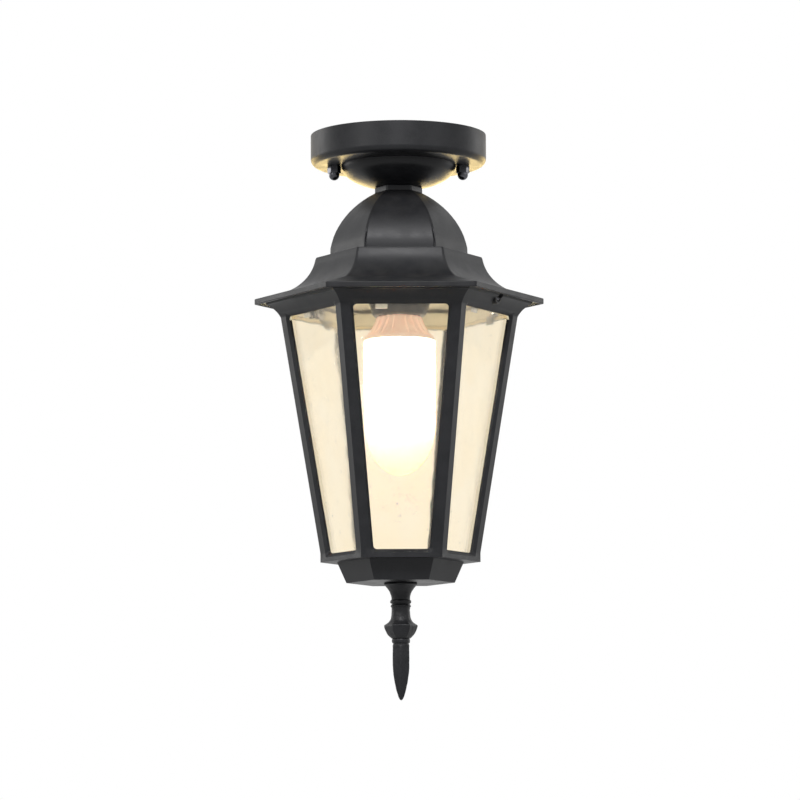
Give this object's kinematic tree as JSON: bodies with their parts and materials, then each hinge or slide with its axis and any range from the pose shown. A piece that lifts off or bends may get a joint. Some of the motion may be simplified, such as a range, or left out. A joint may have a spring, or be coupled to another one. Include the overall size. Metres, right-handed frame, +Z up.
{
  "type": "porch ceiling lantern",
  "caption": "Hexagonal hanging porch lantern on a round ceiling canopy, with a domed roof, tapering glazed cage, screw-in lamp and pointed finial.",
  "frame": {"origin": "middle of the ceiling plane, at the centre of the ceiling bar's slot pattern", "axes": "+Z up into the ceiling; the lantern hangs towards -Z; -Y is the front, square to one flat side; +X points through a corner of the hexagon, along the ceiling bar"},
  "size_m": [0.1978, 0.1712, 0.386],
  "materials": {
    "black_paint": "satin powder coat",
    "pane_glass": "clear, slightly rippled",
    "zinc_steel": "zinc plated",
    "dark_nickel": "black nickel plated",
    "brass": "satin",
    "white_plastic": "moulded",
    "black_plastic": "moulded phenolic",
    "porcelain": "unglazed",
    "solder": "dull",
    "black_insulator": "vitrified glass",
    "nickel_cap": "nickel plated, rolled thread",
    "lamp_housing": "moulded over aluminium",
    "led_board": "white printed board",
    "opal_cover": "opal, lit from inside"
  },
  "bodies": {
    "fixture": {"crossbar": "zinc_steel", "canopy_studs": "zinc_steel", "stud_nuts": "zinc_steel", "cap_nuts": "dark_nickel", "ground_screw": "brass", "ground_washer": "zinc_steel", "terminal_block": "white_plastic", "terminal_screws": "brass", "canopy": "black_paint", "nipple": "zinc_steel", "lock_washer": "zinc_steel", "nipple_nut": "zinc_steel", "roof": "black_paint", "roof_washer": "zinc_steel", "roof_nut": "zinc_steel", "holder_nut": "zinc_steel", "lampholder_cap": "black_plastic", "lampholder_body": "black_plastic", "contact_carrier": "porcelain", "holder_screws": "brass", "screw_shell": "brass", "centre_contact": "brass"},
    "lamp_tip": {"lamp_contact": "solder"},
    "lamp": {"lamp_insulator": "black_insulator", "lamp_cap": "nickel_cap", "lamp_housing": "lamp_housing", "led_plate": "led_board", "lamp_cover": "opal_cover"},
    "cage": {"cage_frame": "black_paint", "pane_front": "pane_glass", "pane_front_right": "pane_glass", "pane_back_right": "pane_glass", "pane_back": "pane_glass", "pane_back_left": "pane_glass", "pane_front_left": "pane_glass", "pane_clips": "zinc_steel", "clip_screws": "zinc_steel", "cage_screws": "dark_nickel", "cage_nuts": "zinc_steel", "bottom_pan": "black_paint", "pan_screws": "zinc_steel", "finial": "black_paint", "finial_washer": "zinc_steel", "finial_nut": "zinc_steel"}
  },
  "joints": [
    {"name": "cage_drop", "type": "slide", "parent": "fixture", "child": "cage", "axis": [0, 0, -1], "range_m": [0, 0.165]},
    {"name": "lamp_travel", "type": "slide", "parent": "fixture", "child": "lamp_tip", "axis": [0, 0, -1], "range_m": [0, 0.0256]},
    {"name": "lamp_turn", "type": "hinge", "parent": "lamp_tip", "child": "lamp", "pos_m": [0, 0, 0], "axis": [0, 0, -1], "range_deg": [0, 2520]}
  ],
  "couplings": [
    {"joint": "lamp_travel", "follows": "lamp_turn", "m_per_rad": 0.00057757}
  ]
}
